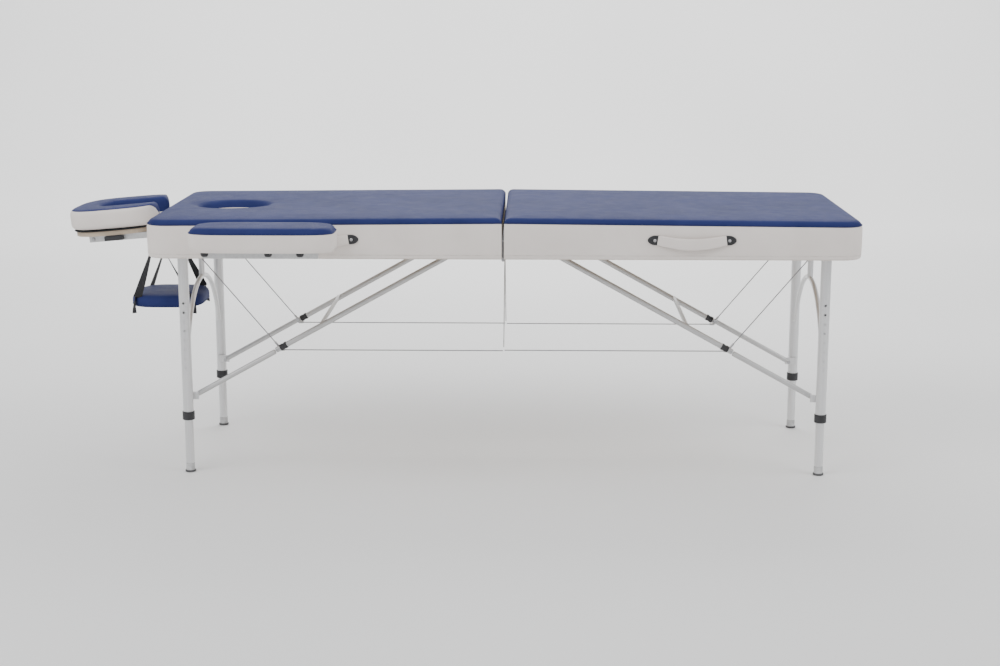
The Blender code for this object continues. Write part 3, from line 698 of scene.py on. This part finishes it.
def makeSling():
    # superellipse rings stacked from the bottom to the middle of the top
    lowest, highest = low("sling_pad"), high("sling_pad")
    centre, size = (lowest + highest) / 2, (highest - lowest) / 2
    height, power = highest[2] - lowest[2], sling["power"]
    flat = squircle(size[0], size[1], power, sling["around"])
    rings = padRings(flat, [(g, lowest[2] + height * h) for g, h in sling["shape"]])
    rings += np.array([centre[0], centre[1], 0])
    keep(skin("slingPad", rings, "blue"), "sling", "upholstery", "sling_pad", fill=0.85)
    cord = sweep("slingSeam", rings[sling["seamRow"]], circle(sling["piping"], 8), "piping", closed=True)
    keep(cord, "sling", "upholstery")
    loopX, _, rodZ = pivot("sling_swing")
    for where, row in rows:
        y = middle(f"sling_{where}_strap")[1]
        angle = np.linspace(0, 2 * math.pi, 40, endpoint=False)
        radius = sling["loopRadius"]
        ring = np.stack([np.full(40, loopX), y + radius * np.cos(angle), rodZ + radius * np.sin(angle)], -1)
        section = band(sling["strapThick"], sling["loopWidth"])
        loop = sweep(f"sling{where.title()}Loop", ring, section, "webbing", up=(1, 0, 0), closed=True)
        keep(loop, "sling", "webbing", f"sling_{where}_strap")
        # each strap runs from the loop to the pad's outline, where |x/a|^power + |y/b|^power = 1
        footY = min(abs(y - centre[1]), sling["widest"] * size[1])
        edge = size[0] * (1 - (footY / size[1]) ** power) ** (1 / power)
        for turn in (-1, 1):
            t = np.linspace(0, 1, 40)
            foot = np.array([centre[0] + turn * edge * sling["footOut"], centre[1] + row * footY,
                             lowest[2] + height * sling["footHigh"]])
            top = np.array([loopX + turn * 0.004, y, rodZ - 0.0105])
            path = top * (1 - t)[:, None] + foot * t[:, None]
            path[:, 2] -= sling["sag"] * np.sin(math.pi * t)
            twist = math.radians(90) * (0.12 + (0.9 if turn * row > 0 else 0.35) * t ** 1.4)
            section = band(sling["strapWidth"], sling["strapThick"])
            strap = sweep(f"sling{where.title()}Strap{turn + 1}", path, section, "webbing",
                          up=(1, 0, 0.2), twist=twist)
            keep(strap, "sling", "webbing")
            # the strap's loose end hangs down the side and turns as it goes
            hang = np.linspace(0, 1, 18)
            tail = np.stack([foot[0] + turn * (0.005 + 0.004 * np.sin(hang * 2.2)),
                             foot[1] + row * 0.006 * hang ** 2,
                             foot[2] + 0.002 - sling["tailLength"] * hang], -1)
            section = band(sling["tailWidth"], sling["tailThick"])
            loose = sweep(f"sling{where.title()}Tail{turn + 1}", tail, section, "webbing",
                          up=(1, 0, 0), twist=math.radians(70) * hang)
            keep(loose, "sling", "webbing")


makeSling()
print("sling ready")


# the arch springs from both legs, and its sine is raised to the power called peak
arch = {"spring": 0.320, "rise": 0.175, "peak": 1.25, "radius": 0.0065, "lean": 4, "inset": 0.0092,
        "post": 0.126, "postRadius": 0.0080, "stub": 0.0090, "stubRadius": 0.0060,
        "braceHigh": (0.006, 0.105), "braceLow": (0.226, 0.077), "braceRadius": 0.0045}
leg = {"collarRibs": 4, "ribPitch": 0.0042, "ribDepth": 0.0006, "footTop": 0.0242,
       "grooveDepth": 0.00045, "grooveWidth": 0.16, "boltY": 0.2065}


def makeLeg(end, where, row):
    body, title = end + "_legs", end + where.title()
    lowest, highest = low(f"{end}_{where}_collar"), high(f"{end}_{where}_collar")
    x, y = ((lowest + highest) / 2)[:2]
    place = np.array([x, y, 0])

    # the collar is a ribbed ring: pairs of (radius, height)
    bottom, top = lowest[2], highest[2]
    r = (highest[0] - lowest[0]) / 2
    ribs = [(r - 0.0044, bottom), (r - 0.001, bottom), (r, bottom + 0.001)]
    for k in range(leg["collarRibs"]):
        at, dip = bottom + 0.004 + k * leg["ribPitch"], r - leg["ribDepth"]
        ribs += [(r, at), (dip, at + 0.0006), (dip, at + 0.0014), (r, at + 0.0020)]
    ribs += [(r, top - 0.001), (r - 0.001, top), (r - 0.0022, top)]
    collar = turned(title + "Collar", place, (0, 0, 1), ribs, "black", closedAlong=True, sharp=50)
    keep(collar, body, "black_plastic", f"{end}_{where}_collar")

    # a dark tread under a grey sleeve
    fr = (high(f"{end}_{where}_rubber_foot")[0] - low(f"{end}_{where}_rubber_foot")[0]) / 2
    tread = ((0.002, 0.0), (fr - 0.0012, 0.0), (fr - 0.0002, 0.0008), (fr, 0.0024), (fr - 0.0004, 0.0046),
             (fr - 0.0012, 0.0052), (fr - 0.0024, 0.0056), (fr - 0.0026, 0.0066), (fr - 0.0026, 0.0225),
             (fr - 0.0030, 0.0238))
    sole = turned(title + "Foot", place, (0, 0, 1), tread, "rubber", second="greySleeve",
                  secondFaces=np.arange(6 * 32, 9 * 32))
    keep(sole, f"{end}_{where}_extension", "rubber", f"{end}_{where}_rubber_foot")

    # the drawn tube: a circle with four shallow grooves, carried straight up
    innerLow, innerHigh = low(f"{end}_{where}_inner_leg"), high(f"{end}_{where}_inner_leg")
    angle = np.linspace(0, 2 * math.pi, 72, endpoint=False)
    groove = leg["grooveDepth"] * np.exp(-(np.sin(2 * angle) / leg["grooveWidth"]) ** 2)
    radius = (innerHigh[0] - innerLow[0]) / 2 - groove
    ring = np.stack([radius * np.cos(angle), radius * np.sin(angle)], -1)
    line = between((x, y, leg["footTop"]), (x, y, innerHigh[2]), 8)
    stage = sweep(title + "InnerLeg", line, ring, "legMetal", up=(0, 1, 0))
    keep(stage, f"{end}_{where}_extension", "aluminium", f"{end}_{where}_inner_leg")
    frame["nodes"][f"{end}_{where}_leg_tube"].data.materials[0] = finish["legMetal"]

    toe = pivot(end + "_links_fold")
    spot = np.array([toe[0], base[1] + row * leg["boltY"], toe[2]])
    shank = ((0.0046, 0.0), (0.0052, 0.0010), (0.0052, 0.0038), (0.0030, 0.0040), (0.0030, 0.0100))
    keep(turned(title + "LinkBolt", spot, (0, row, 0), shank, "steel"), body, "steel")


def makeArch(end):
    # half a turn of sine between the legs, and a post from its crown up to the frame
    body = end + "_legs"
    lean = math.radians(arch["lean"])
    angle = np.linspace(lean, math.pi - lean, 61)
    reach = (high(end + "_leg_arch")[1] - low(end + "_leg_arch")[1]) / 2 - arch["inset"]
    archX = middle(end + "_leg_arch")[0]
    path = np.stack([np.full(61, archX), base[1] - reach * np.cos(angle),
                     arch["spring"] + arch["rise"] * np.sin(angle) ** arch["peak"]], -1)
    bow = tube(end + "Arch", path, arch["radius"], "legMetal", up=(1, 0, 0))
    keep(bow, body, "aluminium", end + "_leg_arch")
    crown = np.array([archX, base[1], arch["spring"] + arch["rise"]])
    line = between(crown - np.array([0, 0, 0.002]), crown + np.array([0, 0, arch["post"]]))
    post = tube(end + "ArchPost", line, arch["postRadius"], "legMetal", up=(0, 1, 0), count=28)
    keep(post, body, "aluminium")
    for row in (-1, 1):
        foot = path[0 if row < 0 else -1] + np.array([0, 0, 0.004])
        line = between(foot, foot + np.array([0, row * arch["stub"], 0]))
        stub = tube(f"{end}ArchStub{row + 1}", line, arch["stubRadius"], "castMetal")
        keep(stub, body, "aluminium")
        (highY, highZ), (lowY, lowZ) = arch["braceHigh"], arch["braceLow"]
        line = between(crown + np.array([0, row * highY, highZ]), crown + np.array([0, row * lowY, lowZ]))
        keep(tube(f"{end}PostBrace{row + 1}", line, arch["braceRadius"], "legMetal"), body, "aluminium")


brace = {"strutY": 0.2022, "linkY": 0.2178, "boltY": 0.1925, "strutRadius": 0.0075, "linkRadius": 0.0070,
         "past": 0.004, "linkStart": 0.016, "sleeveBack": 0.030, "wireRadius": 0.0014, "crossAlong": 0.506,
         "crossUp": 0.0035, "crossRadius": 0.0055, "aboveCable": 0.0037,
         "sleeve": ((0.0078, 0.0), (0.0092, 0.0008), (0.0092, 0.006), (0.0084, 0.007), (0.0084, 0.012),
                    (0.0092, 0.013), (0.0092, 0.020), (0.0078, 0.021)),
         "bolt": ((0.0050, 0.0), (0.0055, 0.0012), (0.0055, 0.0036), (0.0032, 0.0037), (0.0032, 0.0200)),
         "ferrule": ((0.0016, 0.0), (0.0030, 0.001), (0.0030, 0.014), (0.0016, 0.0155))}


def atY(point, y):
    # the same place in a side view, on the plane at this distance from the middle
    return np.array([point[0], base[1] + y, point[2]])


def makeCable(end, where, side, kind):
    # a straight wire rope from the cable's inner end to its outer end, with a pressed ferrule at the knee
    node, body = f"{end}_{where}_{kind}_cable", f"{end}_{kind}_cables"
    lowest, highest = low(node), high(node)
    y = (lowest[1] + highest[1]) / 2
    inX, outX = (lowest[0], highest[0]) if side > 0 else (highest[0], lowest[0])
    if kind == "main":
        middleZ = (lowest[2] + highest[2]) / 2
        inner, outer = np.array([inX, y, middleZ]), np.array([outX, y, middleZ])
        knee, ahead = outer, unit(inner - outer)
    else:
        inner, outer = np.array([inX, y, lowest[2] + 0.0015]), np.array([outX, y, highest[2] - 0.0015])
        knee, ahead = inner, unit(outer - inner)
    title = end + where.title() + kind.title()
    wire = tube(title + "Cable", between(inner, outer, 30), brace["wireRadius"], "cable", count=12)
    keep(wire, body, "steel_cable", node)
    ferrule = turned(title + "Ferrule", knee, ahead, brace["ferrule"], "steel", count=16, closedAlong=True)
    keep(ferrule, body, "steel")


def makeBraces(end, side):
    strutBody, linkBody = end + "_struts", end + "_links"
    top = pivot(end + "_struts_fold")
    knee = pivot(end + "_main_cables_fold") + np.array([0, 0, brace["aboveCable"]])
    toe = pivot(end + "_links_fold")
    along = unit((knee - top) * np.array([1, 0, 1]))
    normal = np.array([-along[2] * side, 0, along[0] * side])
    for where, row in rows:
        title = end + where.title()
        line = between(atY(top, row * brace["strutY"]) - along * brace["past"],
                       atY(knee, row * brace["strutY"]) + along * brace["past"], 12)
        strut = tube(title + "Strut", line, brace["strutRadius"], "braceMetal", count=28)
        keep(strut, strutBody, "aluminium", end + "_strut_frame")
        start = atY(toe, row * brace["linkY"]) + (knee - toe) * [1, 0, 1] * brace["linkStart"]
        line = between(start, atY(knee, row * brace["linkY"]) + along * brace["past"], 8)
        link = tube(title + "Link", line, brace["linkRadius"], "braceMetal", count=28)
        keep(link, linkBody, "aluminium", f"{end}_{where}_link")
        # a black sleeve with two ribs round the strut's end at the knee
        spot = atY(knee, row * brace["strutY"]) - along * brace["sleeveBack"]
        sleeve = turned(title + "KneeSleeve", spot, along, brace["sleeve"], "black", closedAlong=True)
        keep(sleeve, strutBody, "black_plastic")
        spot = atY(knee, row * brace["boltY"])
        bolt = turned(title + "KneeBolt", spot, (0, row, 0), brace["bolt"], "steel")
        keep(bolt, strutBody, "steel")
        for kind in ("main", "stay"):
            makeCable(end, where, side, kind)
    cross = atY(top, 0) + along * brace["crossAlong"] + normal * brace["crossUp"]
    span = np.array([0, brace["strutY"], 0])
    bar = tube(end + "CrossTube", between(cross - span, cross + span), brace["crossRadius"], "braceMetal")
    keep(bar, strutBody, "aluminium")


for end, side in sides:
    for where, row in rows:
        makeLeg(end, where, row)
    makeArch(end)
    makeBraces(end, side)
print("legs and braces ready")


# finishes of the pieces that keep their own shape
carried = {"wood": ("head_deck_board", "foot_deck_board", "head_frame", "foot_frame", "cradle_board"),
           "castMetal": ("cradle_rods", "cradle_frame", "armrest_frame"),
           "steel": ("head_hinge_leaf", "foot_hinge_leaf", "centre_hinge_pin"),
           "black": ("cradle_lever",), "elastic": ("centre_elastic_cord",)}
for look, names in carried.items():
    for name in names:
        frame["nodes"][name].data.materials[0] = finish[look]
for end, side in sides:
    for where, row in rows:
        frame["nodes"][f"{end}_{where}_lock_button"].data.materials[0] = finish["steel"]
